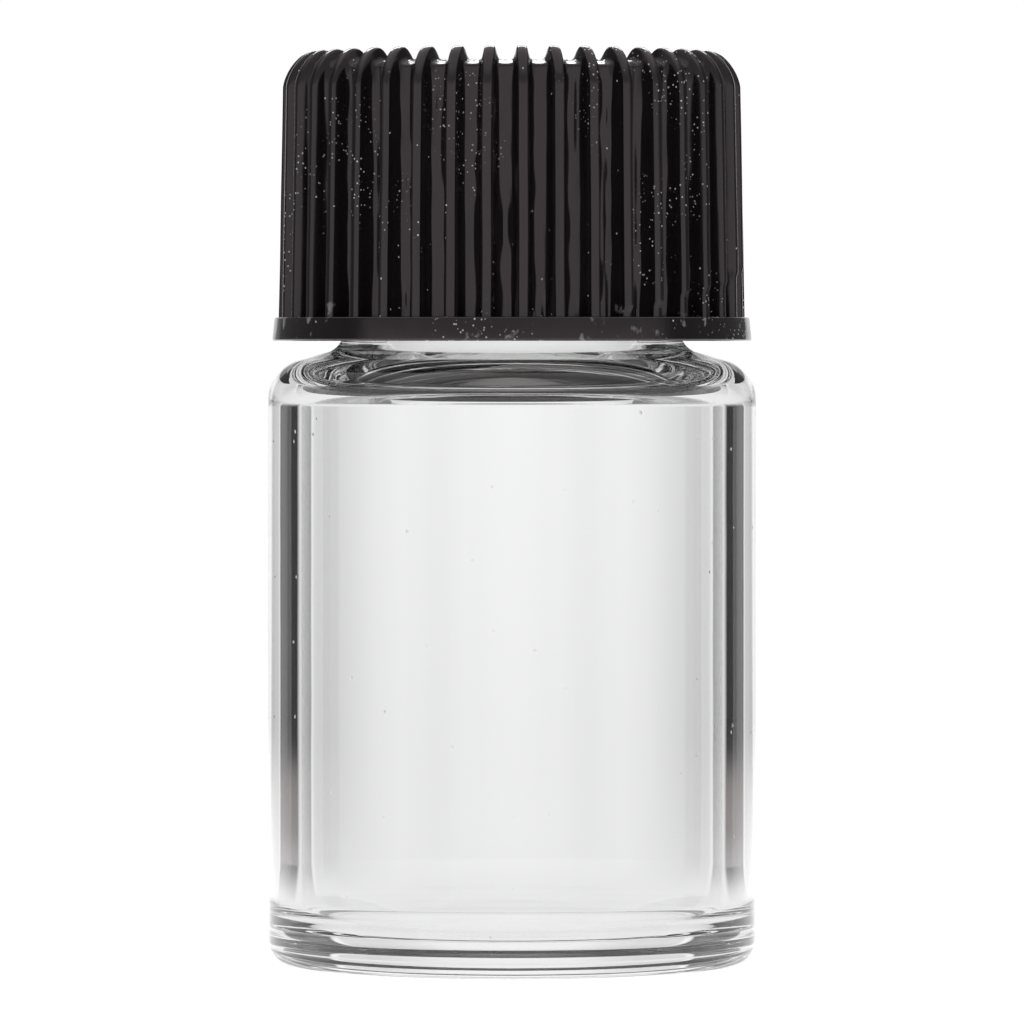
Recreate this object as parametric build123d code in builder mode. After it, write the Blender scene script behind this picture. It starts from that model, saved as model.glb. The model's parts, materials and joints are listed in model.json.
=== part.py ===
from build123d import *
import os
from math import cos, pi, radians, sin, tan

# A small screw-cap sample vial, in millimetres, +Z up.
# The origin is the centre of the base, on the plane that the vial stands on,
# and the Z axis is the axis of the glass, the liner and the cap.

# ---- Driving dimensions ----------------------------------------------------

# Glass body
BODY_RADIUS = 8.25            # outside of the straight wall
WALL = 1.13                   # glass thickness of the straight wall
HEEL_RADIUS = 0.78            # outside rounding between wall and base
INNER_HEEL_RADIUS = 1.05      # inside rounding between wall and floor
BASE_RING_INNER = 5.90        # inner edge of the flat ring that the vial stands on
BASE_PUSH_UP = 0.05           # hollow under the middle of the base
FLOOR_EDGE_Z = 1.15           # inside floor, where it meets the inner heel
FLOOR_CENTRE_Z = 1.25         # inside floor on the axis, slightly raised

# Shoulder and neck (13-425 finish)
SHOULDER_CORNER_Z = 20.15     # where the wall and the sloping shoulder would meet
SHOULDER_SLOPE = 15.0         # degrees above horizontal
SHOULDER_RADIUS = 1.40
INNER_SHOULDER_RADIUS = 0.55
NECK_RADIUS = 5.70            # outside of the neck between the threads
NECK_FILLET = 0.70
BORE_RADIUS = 4.40            # inside of the neck
BORE_FILLET = 1.00
RIM_Z = 28.10                 # sealing rim at the top of the neck
RIM_ROUNDING = 0.55

# Thread, single start, right hand, 12 threads to the inch
PITCH = 25.4 / 12
GLASS_THREAD_CREST = 6.42
GLASS_THREAD_ROOT_WIDTH = 1.20
GLASS_THREAD_CREST_WIDTH = 0.44
GLASS_THREAD_START_Z = 23.20
CAP_THREAD_CREST = 6.00
CAP_THREAD_ROOT_WIDTH = 1.00
CAP_THREAD_CREST_WIDTH = 0.40
CAP_THREAD_DROP = 0.75        # cap thread below the glass thread that it hooks under
THREAD_TURNS = 1.75
THREAD_FADE = 40.0            # degrees over which each end sinks into the wall
THREAD_STEP = 15.0            # degrees between the sections of the loft
CREST_ROUNDING = 0.12
SUNK = 0.12                   # how far a rib or thread is rooted in its wall

# Cap
SKIRT_RADIUS = 7.13           # outside of the skirt between the ribs
SKIRT_BORE = 6.55
FLANGE_BOTTOM_Z = 21.05
FLANGE_TOP_Z = 21.85
FLANGE_RADIUS = 8.10          # at its lower edge
FLANGE_TOP_RADIUS = 8.02
FLANGE_ROUNDING = 0.08
MOUTH_CHAMFER = 0.25
CAP_UNDERSIDE_Z = 29.20
CAP_CENTRE_Z = 30.43          # middle of the slightly domed top
TOP_RADIUS = 6.77             # where the dome meets the sloping top edge
TOP_RIM_Z = 30.30
TOP_EDGE_Z = 30.17            # where the sloping top edge meets the skirt
TOP_EDGE_ROUNDING = 0.08

# Ribs around the cap
RIB_COUNT = 40
FIRST_RIB = -87.2             # degrees; the front of the cap is at -90
RIB_ROOT_WIDTH = 0.54
RIB_TIP_WIDTH = 0.32
RIB_FOOT_RADIUS = 7.88        # reach of a rib just above the flange
RIB_HEAD_RADIUS = 7.74        # reach of a rib below its rounded shoulder
RIB_HEAD_Z = 29.60
RIB_TOP_Z = 30.80
RIB_TOP_RADIUS = 6.76         # where a rib is highest
RIB_END_RADIUS = 6.20         # where a rib runs out on the top of the cap

# Ring inside the cap that keeps the liner in
RETAINER_RADIUS = 6.35
RETAINER_TOP_Z = 28.06
RETAINER_HEIGHT = 0.44
RETAINER_LAND = 0.12

# Liner
LINER_RADIUS = 6.45
FACING_BOTTOM_Z = 28.12
FACING_THICKNESS = 0.12
BACKING_TOP_Z = 29.18
LINER_EDGE = 0.05

# ---- Worked-out sizes ------------------------------------------------------

INNER_RADIUS = BODY_RADIUS - WALL
RISE_PER_RADIUS = tan(radians(SHOULDER_SLOPE))
NECK_CORNER_Z = SHOULDER_CORNER_Z + (BODY_RADIUS - NECK_RADIUS) * RISE_PER_RADIUS
INNER_CORNER_Z = SHOULDER_CORNER_Z + WALL * RISE_PER_RADIUS - WALL / cos(radians(SHOULDER_SLOPE))
BORE_CORNER_Z = INNER_CORNER_Z + (INNER_RADIUS - BORE_RADIUS) * RISE_PER_RADIUS
FLOOR_EDGE_RADIUS = INNER_RADIUS - 1.3 * INNER_HEEL_RADIUS
FACING_TOP_Z = FACING_BOTTOM_Z + FACING_THICKNESS


def fade(angle, last_angle):
    """0 at the two ends of a thread, 1 along its full-height middle."""
    share = min(1.0, angle / THREAD_FADE, (last_angle - angle) / THREAD_FADE)
    return sin(share * pi / 2)


def thread_bead(wall_radius, crest_radius, root_width, crest_width, start_z):
    """Helical bead that stands on a wall and sinks back into it at both ends."""
    outward = 1 if crest_radius > wall_radius else -1
    root_radius = wall_radius - outward * SUNK
    last_angle = 360 * THREAD_TURNS
    with BuildPart() as bead:
        for step in range(round(last_angle / THREAD_STEP) + 1):
            angle = step * THREAD_STEP
            height = (crest_radius - wall_radius + outward * SUNK / 2) * fade(angle, last_angle)
            crest = wall_radius - outward * SUNK / 2 + height
            radial = Vector(cos(radians(angle)), sin(radians(angle)), 0)
            along = Vector(-sin(radians(angle)), cos(radians(angle)), 0)
            centre = Vector(0, 0, start_z + PITCH * angle / 360)
            with BuildSketch(Plane(origin=centre, x_dir=radial, z_dir=-along)):
                with BuildLine():
                    FilletPolyline(
                        (root_radius, -root_width / 2),
                        (crest, -crest_width / 2),
                        (crest, crest_width / 2),
                        (root_radius, root_width / 2),
                        radius=CREST_ROUNDING * (0.25 + 0.75 * fade(angle, last_angle)),
                    )
                    Line((root_radius, root_width / 2), (root_radius, -root_width / 2))
                make_face()
        loft()
    return bead.part


def make_glass_vial():
    """Body, shoulder and neck turned as one wall of glass, with the neck's thread."""
    with BuildPart() as glass_vial:
        with BuildSketch(Plane.XZ):
            with BuildLine():
                wall = FilletPolyline(
                    (BASE_RING_INNER, 0),
                    (BODY_RADIUS, 0),
                    (BODY_RADIUS, SHOULDER_CORNER_Z),
                    (NECK_RADIUS, NECK_CORNER_Z),
                    (NECK_RADIUS, RIM_Z),
                    (BORE_RADIUS, RIM_Z),
                    (BORE_RADIUS, BORE_CORNER_Z),
                    (INNER_RADIUS, INNER_CORNER_Z),
                    (INNER_RADIUS, FLOOR_EDGE_Z),
                    (FLOOR_EDGE_RADIUS, FLOOR_EDGE_Z),
                    radius=(
                        HEEL_RADIUS,
                        SHOULDER_RADIUS,
                        NECK_FILLET,
                        RIM_ROUNDING,
                        RIM_ROUNDING,
                        BORE_FILLET,
                        INNER_SHOULDER_RADIUS,
                        INNER_HEEL_RADIUS,
                    ),
                )
                TangentArc((0, FLOOR_CENTRE_Z), wall @ 1, tangent=(1, 0))
                Line((0, FLOOR_CENTRE_Z), (0, BASE_PUSH_UP))
                TangentArc((0, BASE_PUSH_UP), wall @ 0, tangent=(1, 0))
            make_face()
        revolve(axis=Axis.Z)
        add(
            thread_bead(
                NECK_RADIUS,
                GLASS_THREAD_CREST,
                GLASS_THREAD_ROOT_WIDTH,
                GLASS_THREAD_CREST_WIDTH,
                GLASS_THREAD_START_Z,
            )
        )
    glass_vial.part.label = "glass_vial"
    return glass_vial.part


def make_ribs():
    """The upright ribs, cut to one turned outline with a rounded shoulder."""
    foot_z = FLANGE_TOP_Z - SUNK
    root = SKIRT_RADIUS - SUNK
    with BuildPart() as ribs:
        with BuildSketch(Plane.XY.offset(foot_z)):
            with PolarLocations(0, RIB_COUNT, start_angle=FIRST_RIB):
                Polygon(
                    (RIB_END_RADIUS - SUNK, -RIB_ROOT_WIDTH / 2),
                    (SKIRT_RADIUS, -RIB_ROOT_WIDTH / 2),
                    (RIB_FOOT_RADIUS + SUNK, -RIB_TIP_WIDTH / 2),
                    (RIB_FOOT_RADIUS + SUNK, RIB_TIP_WIDTH / 2),
                    (SKIRT_RADIUS, RIB_ROOT_WIDTH / 2),
                    (RIB_END_RADIUS - SUNK, RIB_ROOT_WIDTH / 2),
                    align=None,
                )
        extrude(amount=RIB_TOP_Z - foot_z + SUNK)
        with BuildSketch(Plane.XZ):
            with BuildLine():
                Polyline(
                    (RIB_HEAD_RADIUS, RIB_HEAD_Z),
                    (RIB_FOOT_RADIUS, foot_z),
                    (root, foot_z),
                    (root, TOP_EDGE_Z - 2 * SUNK),
                    (RIB_END_RADIUS, TOP_EDGE_Z - 2 * SUNK),
                    (RIB_END_RADIUS, TOP_RIM_Z),
                )
                Spline(
                    (RIB_HEAD_RADIUS, RIB_HEAD_Z),
                    (RIB_TOP_RADIUS, RIB_TOP_Z),
                    (RIB_END_RADIUS, TOP_RIM_Z),
                    tangents=((RIB_HEAD_RADIUS - RIB_FOOT_RADIUS, RIB_HEAD_Z - foot_z), (-1, -1.2)),
                )
            make_face()
        revolve(axis=Axis.Z, mode=Mode.INTERSECT)
    return ribs.part


def make_screw_cap():
    """Ribbed cap: top, skirt, flange, liner retainer and the thread inside."""
    with BuildPart() as screw_cap:
        with BuildSketch(Plane.XZ):
            with BuildLine():
                retainer_foot_z = RETAINER_TOP_Z - RETAINER_HEIGHT
                retainer_slope = (RETAINER_HEIGHT - RETAINER_LAND) / 2
                outline = FilletPolyline(
                    (0, CAP_UNDERSIDE_Z),
                    (SKIRT_BORE, CAP_UNDERSIDE_Z),
                    (SKIRT_BORE, RETAINER_TOP_Z),
                    (RETAINER_RADIUS, RETAINER_TOP_Z - retainer_slope),
                    (RETAINER_RADIUS, retainer_foot_z + retainer_slope),
                    (SKIRT_BORE, retainer_foot_z),
                    (SKIRT_BORE, FLANGE_BOTTOM_Z + MOUTH_CHAMFER),
                    (SKIRT_BORE + MOUTH_CHAMFER, FLANGE_BOTTOM_Z),
                    (FLANGE_RADIUS, FLANGE_BOTTOM_Z),
                    (FLANGE_TOP_RADIUS, FLANGE_TOP_Z),
                    (SKIRT_RADIUS, FLANGE_TOP_Z),
                    (SKIRT_RADIUS, TOP_EDGE_Z),
                    (TOP_RADIUS, TOP_RIM_Z),
                    radius=(0, 0, 0, 0, 0, 0, 0, FLANGE_ROUNDING, FLANGE_ROUNDING, 0, TOP_EDGE_ROUNDING),
                )
                TangentArc((0, CAP_CENTRE_Z), outline @ 1, tangent=(1, 0))
                Line((0, CAP_CENTRE_Z), (0, CAP_UNDERSIDE_Z))
            make_face()
        revolve(axis=Axis.Z)
        add(make_ribs())
        add(
            thread_bead(
                SKIRT_BORE,
                CAP_THREAD_CREST,
                CAP_THREAD_ROOT_WIDTH,
                CAP_THREAD_CREST_WIDTH,
                GLASS_THREAD_START_Z - CAP_THREAD_DROP,
            )
        )
    screw_cap.part.label = "screw_cap"
    return screw_cap.part


def make_liner_disc(name, bottom_z, thickness):
    """One layer of the liner, a punched disc with softly broken edges."""
    with BuildPart() as disc:
        with BuildSketch(Plane.XY.offset(bottom_z)):
            Circle(LINER_RADIUS)
        extrude(amount=thickness)
        chamfer(disc.edges().filter_by(GeomType.CIRCLE), LINER_EDGE)
    disc.part.label = name
    return disc.part


glass_vial = make_glass_vial()
screw_cap = make_screw_cap()
liner_facing = make_liner_disc("liner_facing", FACING_BOTTOM_Z, FACING_THICKNESS)
liner_backing = make_liner_disc("liner_backing", FACING_TOP_Z, BACKING_TOP_Z - FACING_TOP_Z)

os.makedirs("parts", exist_ok=True)
for piece in (glass_vial, screw_cap, liner_facing, liner_backing):
    export_step(piece, f"parts/{piece.label}.step")
    print(piece.label, "volume", round(piece.volume, 2), "mm3, solids", len(piece.solids()))
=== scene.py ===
import bmesh
import bpy
import json
from math import atan2, ceil, cos, hypot, pi, radians, sin, sqrt, tan
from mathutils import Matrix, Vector, noise


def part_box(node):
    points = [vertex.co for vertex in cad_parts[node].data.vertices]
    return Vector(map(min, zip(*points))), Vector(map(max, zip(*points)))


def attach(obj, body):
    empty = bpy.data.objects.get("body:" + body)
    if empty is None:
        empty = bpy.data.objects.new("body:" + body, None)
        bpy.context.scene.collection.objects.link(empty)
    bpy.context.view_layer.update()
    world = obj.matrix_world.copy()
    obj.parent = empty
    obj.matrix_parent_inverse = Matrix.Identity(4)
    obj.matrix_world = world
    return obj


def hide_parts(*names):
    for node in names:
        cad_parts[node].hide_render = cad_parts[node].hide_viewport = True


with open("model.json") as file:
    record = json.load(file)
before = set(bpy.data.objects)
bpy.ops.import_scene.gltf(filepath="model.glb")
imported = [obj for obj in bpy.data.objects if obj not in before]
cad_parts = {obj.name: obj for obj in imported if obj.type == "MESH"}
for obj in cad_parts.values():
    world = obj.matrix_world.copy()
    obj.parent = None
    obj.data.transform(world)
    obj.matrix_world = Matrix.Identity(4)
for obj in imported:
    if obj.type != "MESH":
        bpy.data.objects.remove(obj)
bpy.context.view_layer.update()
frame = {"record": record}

MM = 0.001                      # profiles are in millimetres, objects in metres

# ---- Sizes ------------------------------------------------------------------
# The outer sizes are the frame's own; wall thicknesses, roundings and the
# thread repeat the design of the CAD parts.

GLASS_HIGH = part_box("glass_vial")[1] / MM
CAP_LOW, CAP_HIGH = (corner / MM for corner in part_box("screw_cap"))
FILM_LOW, FILM_HIGH = (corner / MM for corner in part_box("liner_facing"))
FOAM_LOW, FOAM_HIGH = (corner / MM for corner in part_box("liner_backing"))
MOUNTS = {mount["name"]: mount for mount in frame["record"]["mounts"]}

BODY_RADIUS = MOUNTS["body"]["dims"]["r_mm"]
BORE_RADIUS = MOUNTS["neck_bore"]["dims"]["r_mm"]
WALL = 1.13
HEEL_RADIUS = 0.78
INNER_HEEL_RADIUS = 1.05
BASE_RING_INNER = 5.90
BASE_PUSH_UP = 0.05
FLOOR_EDGE_Z = 1.15
FLOOR_CENTRE_Z = 1.25
SHOULDER_CORNER_Z = 20.15
SHOULDER_SLOPE = radians(15)
SHOULDER_RADIUS = 1.40
INNER_SHOULDER_RADIUS = 0.55
NECK_RADIUS = 5.70
NECK_FILLET = 0.70
BORE_FILLET = 1.00
RIM_Z = GLASS_HIGH.z
RIM_ROUNDING = 0.55

PITCH = 25.4 / 12
THREAD_TURNS = 1.75
THREAD_FADE = radians(40)
GLASS_THREAD = {"start": 23.20, "height": 0.72, "root": 0.60, "crest": 0.22}
CAP_THREAD = {"start": 22.45, "height": 0.55, "root": 0.50, "crest": 0.20}

SKIRT_RADIUS = 7.13
SKIRT_BORE = 6.55
FLANGE_BOTTOM_Z = CAP_LOW.z
FLANGE_TOP_Z = FLANGE_BOTTOM_Z + 0.80
FLANGE_RADIUS = 8.10
FLANGE_TOP_RADIUS = 8.02
FLANGE_ROUNDING = 0.08
CAP_UNDERSIDE_Z = 29.20
CAP_CENTRE_Z = 30.43
TOP_RADIUS = 6.77
TOP_RIM_Z = 30.30
TOP_EDGE_Z = 30.17
TOP_EDGE_ROUNDING = 0.08
RETAINER = ((6.55, 28.06), (6.35, 27.90), (6.35, 27.78), (6.55, 27.62))
RIB_COUNT = 40
FIRST_RIB = radians(-87.2)
RIB_FOOT_RADIUS = 7.88
RIB_HEAD_RADIUS = 7.74
RIB_HEAD_Z = 29.60
RIB_TOP_RADIUS = 6.76
RIB_TOP_Z = 30.80
RIB_END_RADIUS = 6.20
LINER_EDGE = 0.05
RIM_MARK_DEPTH = 0.04           # ring that the rim has pressed into the liner's film

BACKDROP = 0.84                 # brightness of the studio as the glass shows it
TENT_RADIUS = 0.060
TENT_HEIGHT = 0.110
# Degrees from the middle of the tent's back, and the tone there; the front is paler.
TENT_TONES = (
    (0.0, 0.86),
    (8.0, 0.83),
    (12.5, 0.74),
    (18.0, 0.65),
    (27.0, 0.66),
    (28.0, 0.86),
    (29.3, 0.86),
    (30.4, 0.060),
    (33.0, 0.115),
    (38.8, 0.090),
    (40.6, 0.018),
    (51.0, 0.015),
    (54.0, 0.78),
    (66.0, 0.74),
    (90.0, 0.84),
)
TENT_FRONT = 0.55               # how far the tones of the tent's front are lifted to pale
TENT_FOOT = 0.0016              # height over which the tent's tones pass into the floor's
TENT_FOOT_SHARE = 0.80          # how much of its own tone the tent keeps at its foot
CARD_FOOT = (0.0050, 0.0030)    # heights between which the dark cards turn a little lighter
CARD_FOOT_TONE = (0.175, 0.155, 0.155, 1)
CARD_TOP = (0.024, 0.034)       # heights between which the cards end in the plain backdrop
FLOOR_TONE = (0.79, 0.79, 0.79, 1)
FLOOR_PAINTED_TENT_SHADE_FROM = 0.036        # distance from the vial at which the tent's tones start on the floor, as painted shade of its dark cards and painted light of its pale cloth
FLOOR_PAINTED_TENT_SHADE_SHARES = (0.08, 0.85)     # how much of the tent's tone the floor has there, and at the tent: painted shade and light of the tent on the floor
PAPER_TO = (0.020, 0.20)        # distances between which the paper passes into the lit floor
CAMERA_WHITE = 1.02             # plain white that the camera sees round the vial

GLASS_COLUMNS = 320
DISC_COLUMNS = 192


# ---- Camera, floor and light -------------------------------------------------

def make_camera():
    """Long lens a little above the flange's height, as the photograph was taken."""
    distance = 0.290
    eye_height = 0.0208
    aim_height = 0.01527
    frame_width = 0.03462
    data = bpy.data.cameras.new("camera")
    data.sensor_width = 36
    data.lens = data.sensor_width * distance / frame_width
    data.clip_start = 0.01
    data.clip_end = 10
    camera = bpy.data.objects.new("camera", data)
    camera.location = (0, -distance, eye_height)
    aim = Vector((0, 0, aim_height))
    camera.rotation_euler = (aim - camera.location).to_track_quat("-Z", "Y").to_euler()
    bpy.context.scene.collection.objects.link(camera)
    bpy.context.scene.camera = camera


def tent_tone(graph, place):
    """Tone of the light tent in the direction of a place.

    The back and the sides are pale, a little less so away from their middles. A dark card
    stands in each corner and draws the edges of the glass; the front cards are fainter.
    """
    split = graph("ShaderNodeSeparateXYZ", Vector=place)
    x, y = split.outputs["X"], split.outputs["Y"]
    turn = graph.math("ARCTAN2", graph.math("ABSOLUTE", x), graph.math("ABSOLUTE", y))
    ramp = graph("ShaderNodeValToRGB", Fac=graph.math("DIVIDE", turn, pi / 2))
    stops = ramp.color_ramp.elements
    for count in range(len(TENT_TONES) - 2):
        stops.new(0.5)
    for stop, (degrees, tone) in zip(stops, TENT_TONES):
        stop.position = degrees / 90
        stop.color = (tone, tone, tone, 1)
    front = graph.math("MULTIPLY", graph.math("LESS_THAN", y, 0.0), TENT_FRONT)
    return graph.mix(front, ramp.outputs["Color"], (BACKDROP, BACKDROP, BACKDROP, 1))


def floor_tone(graph, tone, share):
    """Tone of the floor through the glass, with a share of the tent's tone in that direction painted on
    it: painted shade where the tent's cards are dark.
    """
    return graph.mix(share, FLOOR_TONE, tone)


def gloss_tone(graph, direction):
    """Light that surfaces reflect: bright level with the vial in front, dark wings behind."""
    split = graph("ShaderNodeSeparateXYZ", Vector=direction)
    y, height = split.outputs["Y"], split.outputs["Z"]
    wing = graph.math("MULTIPLY", graph.smooth(y, -0.50, -0.05), graph.smooth(y, 0.94, 0.90))
    wing = graph.math("MULTIPLY", wing, graph.smooth(height, 0.80, 0.50))
    upper = graph.math("MULTIPLY", graph.smooth(height, 0.10, 0.19), graph.smooth(height, 0.80, 0.50))
    dim = graph.math("MAXIMUM", graph.math("MULTIPLY", wing, 0.90), graph.math("MULTIPLY", upper, 0.50))
    return graph.math("SUBTRACT", 1.05, dim)


def make_world():
    """White studio dome: plain white to the camera, its own tones in gloss and through glass."""
    world = bpy.data.worlds.new("studio")
    bpy.context.scene.world = world
    world.use_nodes = True
    tree = world.node_tree
    tree.nodes.clear()
    graph = Graph(tree)
    onto = gloss_tone(graph, graph("ShaderNodeTexCoord").outputs["Generated"])
    path = graph("ShaderNodeLightPath")
    lit = graph.blend(path.outputs["Is Transmission Ray"], onto, BACKDROP)
    seen = graph.blend(path.outputs["Is Camera Ray"], lit, CAMERA_WHITE)
    glow = graph("ShaderNodeBackground", Color=(1, 1, 1, 1), Strength=seen)
    graph.link(glow.outputs[0], graph("ShaderNodeOutputWorld").inputs["Surface"])


def glowing(name, colour):
    """Material that only glows; colour is what colour(graph) returns."""
    material = bpy.data.materials.new(name)
    material.use_nodes = True
    tree = material.node_tree
    tree.nodes.clear()
    graph = Graph(tree)
    glow = graph("ShaderNodeEmission", Color=colour(graph))
    output = graph("ShaderNodeOutputMaterial")
    graph.link(glow.outputs[0], output.inputs["Surface"])
    return material, graph, glow, output


def make_floor():
    """White floor: paper near the vial, evenly lit further out, pale grey through the glass, with
    painted shade of the tent's dark cards on it near the tent.
    """
    radius = 1.5
    mesh = bpy.data.meshes.new("floor")
    built = bmesh.new()
    bmesh.ops.create_circle(built, cap_ends=True, radius=radius, segments=96)
    built.to_mesh(mesh)
    built.free()
    floor = bpy.data.objects.new("floor", mesh)
    floor.location.z = -0.02 * MM
    bpy.context.scene.collection.objects.link(floor)

    def colour(graph):
        place = graph("ShaderNodeTexCoord").outputs["Object"]
        direction = graph("ShaderNodeVectorMath", operation="NORMALIZE", Vector=place).outputs[0]
        path = graph("ShaderNodeLightPath")
        distance = graph("ShaderNodeVectorMath", operation="LENGTH", Vector=place).outputs["Value"]
        # Through the glass the floor takes more of the tent's tone towards the tent: painted shade of
        # the dark cards, painted light of the pale cloth.
        share = graph.smooth(distance, FLOOR_PAINTED_TENT_SHADE_FROM, TENT_RADIUS, *FLOOR_PAINTED_TENT_SHADE_SHARES)
        through = floor_tone(graph, tent_tone(graph, place), share)
        lit = graph.mix(path.outputs["Is Transmission Ray"], gloss_tone(graph, direction), through)
        white = (CAMERA_WHITE, CAMERA_WHITE, CAMERA_WHITE, 1)
        return graph.mix(path.outputs["Is Camera Ray"], lit, white)

    material, graph, glow, output = glowing("floor_white", colour)
    place = graph("ShaderNodeTexCoord").outputs["Object"]
    distance = graph("ShaderNodeVectorMath", operation="LENGTH", Vector=place).outputs["Value"]
    paper = graph("ShaderNodeBsdfDiffuse", Color=(0.92, 0.92, 0.92, 1))
    lift = graph("ShaderNodeEmission", Color=(1, 1, 1, 1), Strength=0.75)
    near = graph("ShaderNodeAddShader")
    graph.link(paper.outputs[0], near.inputs[0])
    graph.link(lift.outputs[0], near.inputs[1])
    through = graph("ShaderNodeLightPath").outputs["Is Transmission Ray"]
    pick = graph("ShaderNodeMixShader")
    graph.link(graph.math("MAXIMUM", graph.smooth(distance, *PAPER_TO), through), pick.inputs[0])
    graph.link(near.outputs[0], pick.inputs[1])
    graph.link(glow.outputs[0], pick.inputs[2])
    graph.link(pick.outputs[0], output.inputs["Surface"])
    mesh.materials.append(material)


def make_tent():
    """Light tent with dark corner cards, seen only through the glass."""
    mesh = bpy.data.meshes.new("light_tent")
    built = bmesh.new()
    columns = 180
    rows = []
    for z in (0, TENT_HEIGHT):
        angles = [2 * pi * k / columns for k in range(columns)]
        row = [(TENT_RADIUS * cos(a), TENT_RADIUS * sin(a), z) for a in angles]
        rows.append([built.verts.new(place) for place in row])
    for k in range(columns):
        after = (k + 1) % columns
        built.faces.new((rows[0][k], rows[0][after], rows[1][after], rows[1][k]))
    built.to_mesh(mesh)
    built.free()
    tent = bpy.data.objects.new("light_tent", mesh)
    bpy.context.scene.collection.objects.link(tent)

    def colour(graph):
        place = graph("ShaderNodeTexCoord").outputs["Object"]
        height = graph("ShaderNodeSeparateXYZ", Vector=place).outputs["Z"]
        tone = tent_tone(graph, place)
        tone = graph.mix(graph.smooth(height, *CARD_FOOT), tone, CARD_FOOT_TONE, "LIGHTEN")
        plain = (BACKDROP, BACKDROP, BACKDROP, 1)
        tone = graph.mix(graph.smooth(height, *CARD_TOP), tone, plain)
        foot = floor_tone(graph, tone, TENT_FOOT_SHARE)
        return graph.mix(graph.smooth(height, TENT_FOOT, 0.0), tone, foot)

    material, graph, glow, output = glowing("tent_cloth", colour)
    place = graph("ShaderNodeTexCoord").outputs["Object"]
    height = graph("ShaderNodeSeparateXYZ", Vector=place).outputs["Z"]
    graph.link(graph.smooth(height, -0.010, 0.024, 0.95, 1.07), glow.inputs["Strength"])
    mesh.materials.append(material)
    tent.visible_camera = False
    tent.visible_diffuse = False
    tent.visible_glossy = False
    tent.visible_shadow = False


def make_lamp(name, place, size, power):
    """Soft box aimed at the middle of the vial."""
    data = bpy.data.lights.new(name, "AREA")
    data.shape = "RECTANGLE"
    data.size, data.size_y = size
    data.energy = power
    lamp = bpy.data.objects.new(name, data)
    lamp.location = place
    aim = Vector((0, 0, 0.5 * CAP_HIGH.z * MM))
    lamp.rotation_euler = (aim - lamp.location).to_track_quat("-Z", "Y").to_euler()
    lamp.visible_camera = False
    bpy.context.scene.collection.objects.link(lamp)


# ---- Node helper ---------------------------------------------------------------

class Graph:
    """Adds nodes to a tree, with sockets set by value or by link."""

    def __init__(self, tree):
        self.tree = tree

    def __call__(self, kind, **settings):
        node = self.tree.nodes.new(kind)
        for name, value in settings.items():
            name = name.replace("_", " ") if name[0].isupper() else name
            if not name[0].isupper():
                setattr(node, name, value)
            elif isinstance(value, bpy.types.NodeSocket):
                self.link(value, node.inputs[name])
            else:
                node.inputs[name].default_value = value
        return node

    def link(self, out, into):
        self.tree.links.new(out, into)

    def math(self, operation, first, second=None):
        node = self.tree.nodes.new("ShaderNodeMath")
        node.operation = operation
        for socket, value in zip(node.inputs, (first, second)):
            if isinstance(value, bpy.types.NodeSocket):
                self.link(value, socket)
            elif value is not None:
                socket.default_value = value
        return node.outputs[0]

    def smooth(self, value, low, high, to_low=0.0, to_high=1.0):
        node = self("ShaderNodeMapRange", interpolation_type="SMOOTHSTEP")
        self.link(value, node.inputs["Value"])
        ends = (("From Min", low), ("From Max", high), ("To Min", to_low), ("To Max", to_high))
        for name, end in ends:
            node.inputs[name].default_value = end
        return node.outputs["Result"]

    def blend(self, share, first, second):
        """One of two numbers, or between them, by a share."""
        node = self("ShaderNodeMix", data_type="FLOAT")
        for socket, value in zip(node.inputs[:4], (share, None, first, second)):
            if isinstance(value, bpy.types.NodeSocket):
                self.link(value, socket)
            elif value is not None:
                socket.default_value = value
        return node.outputs[0]

    def mix(self, share, first, second, blend_type="MIX"):
        node = self("ShaderNodeMix", data_type="RGBA", blend_type=blend_type)
        sockets = (node.inputs[0], node.inputs[6], node.inputs[7])
        for socket, value in zip(sockets, (share, first, second)):
            if isinstance(value, bpy.types.NodeSocket):
                self.link(value, socket)
            else:
                socket.default_value = value
        return node.outputs[2]

    def stretched(self, scale):
        place = self("ShaderNodeTexCoord").outputs["Object"]
        return self("ShaderNodeMapping", Vector=place, Scale=scale).outputs["Vector"]

    def noise(self, scale, detail=2.0, stretch=(1, 1, 1), roughness=0.5):
        node = self("ShaderNodeTexNoise", Vector=self.stretched(stretch), Scale=scale)
        node.inputs["Detail"].default_value = detail
        node.inputs["Roughness"].default_value = roughness
        return node.outputs[0]

    def specks(self, per_metre, size, share):
        """1 inside small round specks, one in some of the cells of a random grid."""
        cells = self("ShaderNodeTexVoronoi", Vector=self.stretched((1, 1, 1)), Scale=per_metre)
        inside = self.smooth(cells.outputs["Distance"], size, size * 0.55)
        pick = self("ShaderNodeSeparateColor", Color=cells.outputs["Color"]).outputs[0]
        chosen = self.math("LESS_THAN", pick, share)
        return self.math("MULTIPLY", inside, chosen)

    def bump(self, height, strength, distance, under=None):
        node = self("ShaderNodeBump", Strength=strength, Distance=distance, Height=height)
        if under is not None:
            self.link(under, node.inputs["Normal"])
        return node.outputs[0]


def new_material(name, **constants):
    """Principled material; returns it with its graph and its shader node."""
    material = bpy.data.materials.new(name)
    material.use_nodes = True
    tree = material.node_tree
    tree.nodes.clear()
    graph = Graph(tree)
    shader = graph("ShaderNodeBsdfPrincipled", **constants)
    graph.link(shader.outputs[0], graph("ShaderNodeOutputMaterial").inputs["Surface"])
    return material, graph, shader


# ---- Materials -----------------------------------------------------------------

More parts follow.
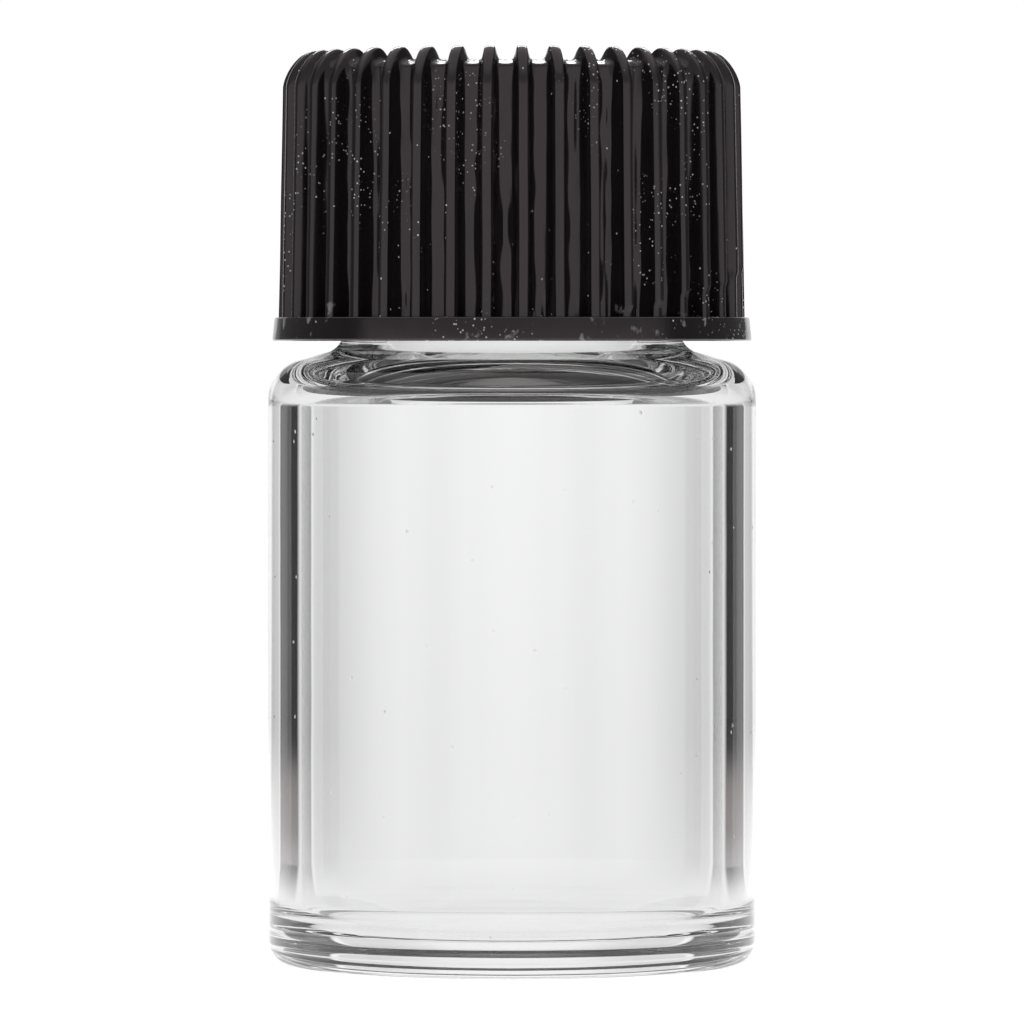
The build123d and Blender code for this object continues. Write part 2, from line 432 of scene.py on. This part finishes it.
def glass_material():
    """Clear tube glass: faint drawn lines up the wall, a little dust and a few smears."""
    material, graph, shader = new_material(
        "clear_glass", Base_Color=(0.99, 0.993, 0.992, 1), IOR=1.50, Transmission_Weight=1.0
    )
    smear = graph.noise(260, 4.0, (1, 1, 0.6))
    dust = graph.specks(1500, 0.10, 0.10)
    greasy = graph.smooth(smear, 0.55, 0.80, 0.0, 0.035)
    rough = graph.math("ADD", greasy, graph.math("MULTIPLY", dust, 0.5))
    graph.link(rough, shader.inputs["Roughness"])
    drawn = graph.noise(900, 2.0, (1, 1, 0.02))
    lines = graph.bump(drawn, 0.05, 0.00002)
    ripples = graph.bump(graph.noise(140, 2.0), 0.06, 0.0001, lines)
    graph.link(graph.bump(dust, 0.35, 0.00003, ripples), shader.inputs["Normal"])
    return material


def cap_material():
    """Black moulded plastic: fine skin, uneven flow, rubbed patches and clusters of pale dust."""
    material, graph, shader = new_material("cap_plastic", IOR=1.50, Specular_Tint=(1.0, 0.88, 0.94, 1))
    cloud = graph.noise(420, 5.0, (1, 1, 0.35))
    base = graph.mix(cloud, (0.0042, 0.0034, 0.0037, 1), (0.0080, 0.0064, 0.0069, 1))
    patch = graph.smooth(graph.noise(300, 3.0, (1, 1, 0.7)), 0.53, 0.63)
    settled = graph.math("MULTIPLY", graph.specks(6500, 0.25, 0.75), patch)
    pale = graph.math("MAXIMUM", settled, graph.specks(3200, 0.13, 0.16))
    height = graph("ShaderNodeSeparateXYZ", Vector=graph.stretched((1, 1, 1))).outputs["Z"]
    foot = graph.smooth(height, (FLANGE_TOP_Z + 0.9) * MM, (FLANGE_TOP_Z + 0.1) * MM)
    scuffed = graph.smooth(graph.noise(1500, 3.0, (1, 1, 0.8)), 0.63, 0.70)
    scuff = graph.math("MULTIPLY", graph.math("MULTIPLY", foot, scuffed), 0.30)
    pale = graph.math("MAXIMUM", pale, scuff)
    graph.link(graph.mix(pale, base, (0.46, 0.45, 0.44, 1)), shader.inputs["Base Color"])
    rubbed = graph.noise(700, 4.0, (1, 1, 0.12), 0.6)
    rough = graph.smooth(rubbed, 0.30, 0.75, 0.10, 0.22)
    graph.link(graph.math("ADD", rough, graph.math("MULTIPLY", pale, 0.4)), shader.inputs["Roughness"])
    skin = graph.bump(graph.noise(9000, 3.0), 0.10, 0.00001)
    flow = graph.bump(graph.noise(1300, 2.0, (1, 1, 0.14)), 0.45, 0.00005, skin)
    graph.link(graph.bump(pale, 0.6, 0.00003, flow), shader.inputs["Normal"])
    return material


def foam_material():
    """White foamed polyethylene: small closed cells and a slightly uneven tone."""
    material, graph, shader = new_material(
        "liner_foam", IOR=1.48, Roughness=0.75, Subsurface_Weight=0.15, Subsurface_Scale=0.0004
    )
    cells = graph("ShaderNodeTexVoronoi", Vector=graph.stretched((1, 1, 1)), Scale=5200.0)
    tone = graph.smooth(graph.noise(900, 3.0), 0.3, 0.7)
    shade = graph.mix(tone, (0.80, 0.80, 0.775, 1), (0.90, 0.90, 0.885, 1))
    graph.link(shade, shader.inputs["Base Color"])
    graph.link(graph.bump(cells.outputs["Distance"], 0.45, 0.00006), shader.inputs["Normal"])
    return material


def film_material():
    """Smooth pale pinkish film with a satin skin and light rub marks."""
    material, graph, shader = new_material("liner_film", IOR=1.38, Coat_Weight=0.15, Coat_Roughness=0.25)
    tone = graph.smooth(graph.noise(500, 4.0), 0.3, 0.7)
    shade = graph.mix(tone, (0.90, 0.84, 0.83, 1), (0.96, 0.89, 0.88, 1))
    graph.link(shade, shader.inputs["Base Color"])
    rubs = graph.noise(1600, 5.0, (1, 0.2, 1), 0.65)
    graph.link(graph.smooth(rubs, 0.3, 0.8, 0.30, 0.50), shader.inputs["Roughness"])
    graph.link(graph.bump(rubs, 0.12, 0.00003), shader.inputs["Normal"])
    return material


# ---- Turned and threaded shapes ---------------------------------------------------

def rounded(points, radii):
    """The line through the points, with an arc of the given radius at each inner corner."""
    points = [Vector(point) for point in points]
    line = [points[0]]
    for before, corner, after, radius in zip(points, points[1:], points[2:], radii):
        if not radius:
            line.append(corner)
            continue
        back = (before - corner).normalized()
        on = (after - corner).normalized()
        half = back.angle(on) / 2
        centre = corner + (back + on).normalized() * radius / sin(half)
        first = corner + back * radius / tan(half) - centre
        turn = pi - 2 * half
        side = 1 if back.x * on.y - back.y * on.x < 0 else -1
        steps = max(4, ceil(turn / radians(6)))
        for step in range(steps + 1):
            angle = side * turn * step / steps
            spoke = (
                first.x * cos(angle) - first.y * sin(angle),
                first.x * sin(angle) + first.y * cos(angle),
            )
            line.append(centre + Vector(spoke))
    line.append(points[-1])
    return line


def arc_from_axis(centre_z, edge, steps=12):
    """Points from the axis to an edge along a shallow dome or dish that is level on the axis."""
    rise = edge[1] - centre_z
    radius = (edge[0] ** 2 + rise ** 2) / (2 * rise)
    points = []
    for step in range(steps + 1):
        reach = edge[0] * step / steps
        lift = sqrt(radius ** 2 - reach ** 2)
        z = centre_z + radius - lift if rise > 0 else centre_z + radius + lift
        points.append(Vector((reach, z)))
    return points


def divided(line, spacing):
    """The line with its long stretches divided, and a narrow first and last share on each."""
    edge = 0.04
    result = [line[0]]
    for start, end in zip(line, line[1:]):
        length = (end - start).length
        step = spacing(start, end)
        if length > step:
            inner = max(1, ceil((length - 2 * edge) / step))
            shares = [edge + (length - 2 * edge) * k / inner for k in range(inner + 1)]
            result += [start.lerp(end, share / length) for share in shares]
        result.append(end)
    return result


def thread_height(thread, angle, z):
    """How far the thread's bead stands out of its wall at an angle and height."""
    last = 2 * pi * THREAD_TURNS
    height = 0.0
    for turn in (angle % (2 * pi), angle % (2 * pi) + 2 * pi):
        if turn > last:
            continue
        share = min(1.0, turn / THREAD_FADE, (last - turn) / THREAD_FADE)
        away = abs(z - thread["start"] - PITCH * turn / (2 * pi))
        flank = (thread["root"] - away) / (thread["root"] - thread["crest"])
        flank = min(1.0, max(0.0, flank))
        bead = flank * flank * (3 - 2 * flank)
        height = max(height, bead * thread["height"] * sin(share * pi / 2))
    return height


def ring(radius_at, z, angles):
    """Points round the axis at one height, with a radius for each angle."""
    return [Vector((radius_at(a) * cos(a), radius_at(a) * sin(a), z)) for a in angles]


def make_piece(name, rings, material):
    """Closed mesh through rings of points; a ring of one point closes the shape on the axis."""
    built = bmesh.new()
    rows = [[built.verts.new(point * MM) for point in row] for row in rings]
    for low, high in zip(rows, rows[1:]):
        count = max(len(low), len(high))
        for k in range(count):
            after = (k + 1) % count
            corners = [low[k % len(low)], low[after % len(low)]]
            corners += [high[after % len(high)], high[k % len(high)]]
            built.faces.new(list(dict.fromkeys(corners)))
    bmesh.ops.recalc_face_normals(built, faces=built.faces)
    mesh = bpy.data.meshes.new(name)
    built.to_mesh(mesh)
    built.free()
    mesh.shade_smooth()
    mesh.materials.append(material)
    piece = bpy.data.objects.new(name, mesh)
    bpy.context.scene.collection.objects.link(piece)
    return piece


# ---- Glass -----------------------------------------------------------------------

def glass_line():
    """Section of the glass from the middle of the base, over the rim, to the middle of the floor."""
    slope = tan(SHOULDER_SLOPE)
    inner = BODY_RADIUS - WALL
    neck_corner_z = SHOULDER_CORNER_Z + (BODY_RADIUS - NECK_RADIUS) * slope
    inner_corner_z = SHOULDER_CORNER_Z + WALL * slope - WALL / cos(SHOULDER_SLOPE)
    bore_corner_z = inner_corner_z + (inner - BORE_RADIUS) * slope
    floor_edge = (inner - 1.3 * INNER_HEEL_RADIUS, FLOOR_EDGE_Z)
    wall = rounded(
        (
            (BASE_RING_INNER, 0),
            (BODY_RADIUS, 0),
            (BODY_RADIUS, SHOULDER_CORNER_Z),
            (NECK_RADIUS, neck_corner_z),
            (NECK_RADIUS, RIM_Z),
            (BORE_RADIUS, RIM_Z),
            (BORE_RADIUS, bore_corner_z),
            (inner, inner_corner_z),
            (inner, FLOOR_EDGE_Z),
            floor_edge,
        ),
        (
            HEEL_RADIUS,
            SHOULDER_RADIUS,
            NECK_FILLET,
            RIM_ROUNDING,
            RIM_ROUNDING,
            BORE_FILLET,
            INNER_SHOULDER_RADIUS,
            INNER_HEEL_RADIUS,
        ),
    )
    base = arc_from_axis(BASE_PUSH_UP, (BASE_RING_INNER, 0))
    floor = arc_from_axis(FLOOR_CENTRE_Z, floor_edge)
    return base[:-1] + wall + floor[-2::-1]


def on_neck(start, end):
    """Whether a stretch of the section is the straight wall of the neck."""
    return abs(start.x - NECK_RADIUS) < 1e-4 and abs(end.x - NECK_RADIUS) < 1e-4


def make_glass():
    """The glass, with its thread raised out of the neck's wall."""
    thread_step = 0.07
    plain_step = 0.6
    line = divided(glass_line(), lambda *ends: thread_step if on_neck(*ends) else plain_step)
    angles = [2 * pi * k / GLASS_COLUMNS for k in range(GLASS_COLUMNS)]
    rings = []
    for point in line:
        radius, z = point
        if radius < 1e-6:
            rings.append([Vector((0, 0, z))])
        elif abs(radius - NECK_RADIUS) < 1e-4:
            rings.append(ring(lambda a: radius + thread_height(GLASS_THREAD, a, z), z, angles))
        else:
            rings.append(ring(lambda a: radius, z, angles))
    glass = make_piece("vial_glass", rings, glass_material())
    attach(glass, "vial")
    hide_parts("glass_vial")


# ---- Cap -------------------------------------------------------------------------

# Half of a rib's outline, from the middle of the gap to the middle of the tip:
# share of the rib's depth, and half-width in mm. The first two lie on the skirt.
RIB_SIDE = (
    (0.0, 0.54),
    (0.0, 0.475),
    (0.012, 0.41),
    (0.05, 0.345),
    (0.14, 0.285),
    (0.5, 0.222),
    (0.85, 0.182),
    (0.935, 0.158),
    (0.98, 0.116),
    (1.0, 0.05),
)
TOP_RING_RADII = (0.4, 1.2, 2.0, 2.8, 3.6, 4.4, 5.2, 5.7, 6.0, 6.15)
MOUTH_CHAMFER = 0.25
SCARRED_RIBS = (3, 9)           # first and last rib with a step worn into its foot


def rib_columns():
    """(rib number, depth share, sideways offset) of each column of points round the cap."""
    side = [(depth, -offset) for depth, offset in RIB_SIDE]
    outline = side + [(depth, -offset) for depth, offset in reversed(side)]
    return [(rib, depth, offset) for rib in range(RIB_COUNT) for depth, offset in outline]


def bezier(ends, steps):
    """Points along a cubic curve, without its first point."""
    a, b, c, d = (Vector(point) for point in ends)
    points = []
    for step in range(1, steps + 1):
        t = step / steps
        u = 1 - t
        points.append(a * u ** 3 + b * 3 * u * u * t + c * 3 * u * t * t + d * t ** 3)
    return points


def even(line, count):
    """Points at equal distances along a line, without its first point."""
    lengths = [(b - a).length for a, b in zip(line, line[1:])]
    total = sum(lengths)
    points = []
    for step in range(1, count + 1):
        left = total * step / count
        for (a, b), length in zip(zip(line, line[1:]), lengths):
            if left <= length + 1e-9:
                points.append(a.lerp(b, left / length))
                break
            left -= length
    return points


def dome_z(radius):
    """Height of the cap's slightly domed top."""
    return CAP_CENTRE_Z - (CAP_CENTRE_Z - TOP_RIM_Z) * (radius / TOP_RADIUS) ** 2


def cap_levels():
    """Pairs of section points, on the skirt and on the rib tip, from the flange to the rib's end."""
    upright = 46
    over = 22
    down = 8
    levels = []
    for step in range(upright + 1):
        share = step / upright
        z = FLANGE_TOP_Z + (RIB_HEAD_Z - FLANGE_TOP_Z) * share
        tip = RIB_FOOT_RADIUS + (RIB_HEAD_RADIUS - RIB_FOOT_RADIUS) * share
        levels.append((Vector((SKIRT_RADIUS, z)), Vector((tip, z))))
    crown = rounded(
        ((SKIRT_RADIUS, RIB_HEAD_Z), (SKIRT_RADIUS, TOP_EDGE_Z), (TOP_RADIUS, TOP_RIM_Z)),
        (TOP_EDGE_ROUNDING,),
    )
    shoulder = bezier(
        (
            (RIB_HEAD_RADIUS, RIB_HEAD_Z),
            (RIB_HEAD_RADIUS - 0.06, RIB_HEAD_Z + 0.52),
            (7.18, RIB_TOP_Z),
            (RIB_TOP_RADIUS, RIB_TOP_Z),
        ),
        over,
    )
    levels += zip(even(crown, over), shoulder)
    run_out = bezier(
        (
            (RIB_TOP_RADIUS, RIB_TOP_Z),
            (6.50, RIB_TOP_Z),
            (6.32, TOP_RIM_Z + 0.22),
            (RIB_END_RADIUS, dome_z(RIB_END_RADIUS)),
        ),
        down,
    )
    inward = [TOP_RADIUS + (RIB_END_RADIUS - TOP_RADIUS) * step / down for step in range(1, down + 1)]
    top = [Vector((radius, dome_z(radius))) for radius in inward]
    levels += zip(top, run_out)
    return levels


def worn(rib, depth, offset, z):
    """Small unevenness of the moulding: (radial, sideways) in mm, none at the cap's edges."""
    seed = Vector((rib * 3.7, offset * 0.8, z * 0.22))
    if depth < 0.3:
        fillet = 0.0 if abs(offset) > 0.45 else 0.09
        uneven = Vector((rib * 2.3 + (4.1 if offset > 0 else 0.0), 1.7, z * 0.75))
        radial = 0.022 * noise.noise(seed) + fillet * noise.noise(uneven)
    else:
        radial = 0.012 * noise.noise(seed * 2)
    sideways = 0.022 * noise.noise(Vector((rib * 1.9, 7.3, z * 0.35))) * depth
    first, last = SCARRED_RIBS
    ledge_z = FLANGE_TOP_Z + 0.25 + 0.22 * max(0, rib - first)
    if first <= rib <= last and z < ledge_z:
        radial -= 0.05 * depth
        sideways -= 0.045 * depth
    return radial, sideways


def cap_point(column, core, tip):
    """Place of one column of the rib outline at one level of the section."""
    rib, depth, offset = column
    section = core.lerp(tip, depth)
    radial, sideways = worn(rib, depth, offset, section.y)
    free = (core - tip).length > 1e-6
    reach = section.x + radial if free else section.x
    side = offset + sideways if free else offset
    along = sqrt(reach ** 2 - side ** 2) if depth == 0 else reach
    angle = FIRST_RIB + 2 * pi * rib / RIB_COUNT + atan2(side, along)
    radius = hypot(side, along)
    return Vector((radius * cos(angle), radius * sin(angle), section.y))


def make_cap():
    """Ribbed cap in one skin: down from the middle of its top, round the flange and up inside."""
    columns = rib_columns()
    angles = [
        FIRST_RIB + 2 * pi * rib / RIB_COUNT + offset / SKIRT_RADIUS for rib, depth, offset in columns
    ]
    rings = [[Vector((0, 0, CAP_CENTRE_Z))]]
    for radius in TOP_RING_RADII:
        rings.append(ring(lambda a: radius, dome_z(radius), angles))
    for core, tip in reversed(cap_levels()):
        rings.append([cap_point(column, core, tip) for column in columns])
    mouth = rounded(
        (
            (FLANGE_TOP_RADIUS - 0.10, FLANGE_TOP_Z),
            (FLANGE_TOP_RADIUS, FLANGE_TOP_Z),
            (FLANGE_RADIUS, FLANGE_BOTTOM_Z),
            (SKIRT_BORE + MOUTH_CHAMFER, FLANGE_BOTTOM_Z),
            (SKIRT_BORE, FLANGE_BOTTOM_Z + MOUTH_CHAMFER),
            RETAINER[3],
            RETAINER[2],
            RETAINER[1],
            RETAINER[0],
            (SKIRT_BORE, CAP_UNDERSIDE_Z),
            (0.4, CAP_UNDERSIDE_Z),
        ),
        (FLANGE_ROUNDING, FLANGE_ROUNDING, 0.06, 0.06, 0.05, 0.05, 0.05, 0.05, 0.12),
    )

    def spacing(start, end):
        """Close rings on the threaded wall, wide ones elsewhere."""
        upright = abs(start.x - end.x) < 1e-4
        return 0.10 if upright and start.x < SKIRT_RADIUS else 0.8

    for point in divided(mouth, spacing):
        radius, z = point
        bore = abs(radius - SKIRT_BORE) < 1e-4
        depth = (lambda a: thread_height(CAP_THREAD, a, z)) if bore else (lambda a: 0.0)
        rings.append(ring(lambda a: radius - depth(a), z, angles))
    rings.append([Vector((0, 0, CAP_UNDERSIDE_Z))])
    cap = make_piece("cap_moulding", rings, cap_material())
    cap.data.set_sharp_from_angle(angle=radians(50))
    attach(cap, "cap")
    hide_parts("screw_cap")


# ---- Liner -----------------------------------------------------------------------

def make_disc(name, node, line, material):
    """One layer of the liner, turned from a section line that starts and ends on the axis."""
    angles = [2 * pi * k / DISC_COLUMNS for k in range(DISC_COLUMNS)]
    rings = []
    for radius, z in line:
        rings.append([Vector((0, 0, z))] if radius < 1e-6 else ring(lambda a: radius, z, angles))
    disc = make_piece(name, rings, material)
    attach(disc, "seal")
    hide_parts(node)


def make_liner():
    """Foam backing and smooth film, the film marked by the rim of the glass."""
    edge = FILM_HIGH.x
    mark_middle = (BORE_RADIUS + NECK_RADIUS) / 2
    mark_half_width = 0.55
    steps = 60
    film = [Vector((0, FILM_LOW.z))]
    for step in range(1, steps + 1):
        radius = (edge - LINER_EDGE) * step / steps
        dent = max(0.0, 1 - ((radius - mark_middle) / mark_half_width) ** 2)
        film.append(Vector((radius, FILM_LOW.z + RIM_MARK_DEPTH * dent ** 2)))
    film.append(Vector((edge, FILM_LOW.z + LINER_EDGE)))
    film.append(Vector((edge, FILM_HIGH.z)))
    film.append(Vector((0, FILM_HIGH.z)))
    make_disc("liner_film_disc", "liner_facing", film, film_material())
    foam = rounded(
        (
            (0, FOAM_LOW.z),
            (FOAM_HIGH.x, FOAM_LOW.z),
            (FOAM_HIGH.x, FOAM_HIGH.z),
            (0, FOAM_HIGH.z),
        ),
        (LINER_EDGE, LINER_EDGE * 2),
    )
    foam = divided(foam, lambda start, end: 0.5)
    make_disc("liner_foam_disc", "liner_backing", foam, foam_material())


# ---- Scene -----------------------------------------------------------------------

make_camera()
make_world()
make_floor()
make_tent()
make_lamp("back_light", place=(0.0, 0.36, 0.30), size=(0.34, 0.12), power=0.9)
make_glass()
make_cap()
make_liner()

scene = bpy.context.scene
scene.view_settings.view_transform = "Standard"
scene.view_settings.look = "None"
scene.cycles.max_bounces = 24
scene.cycles.transmission_bounces = 20
scene.cycles.glossy_bounces = 12
scene.cycles.transparent_max_bounces = 16
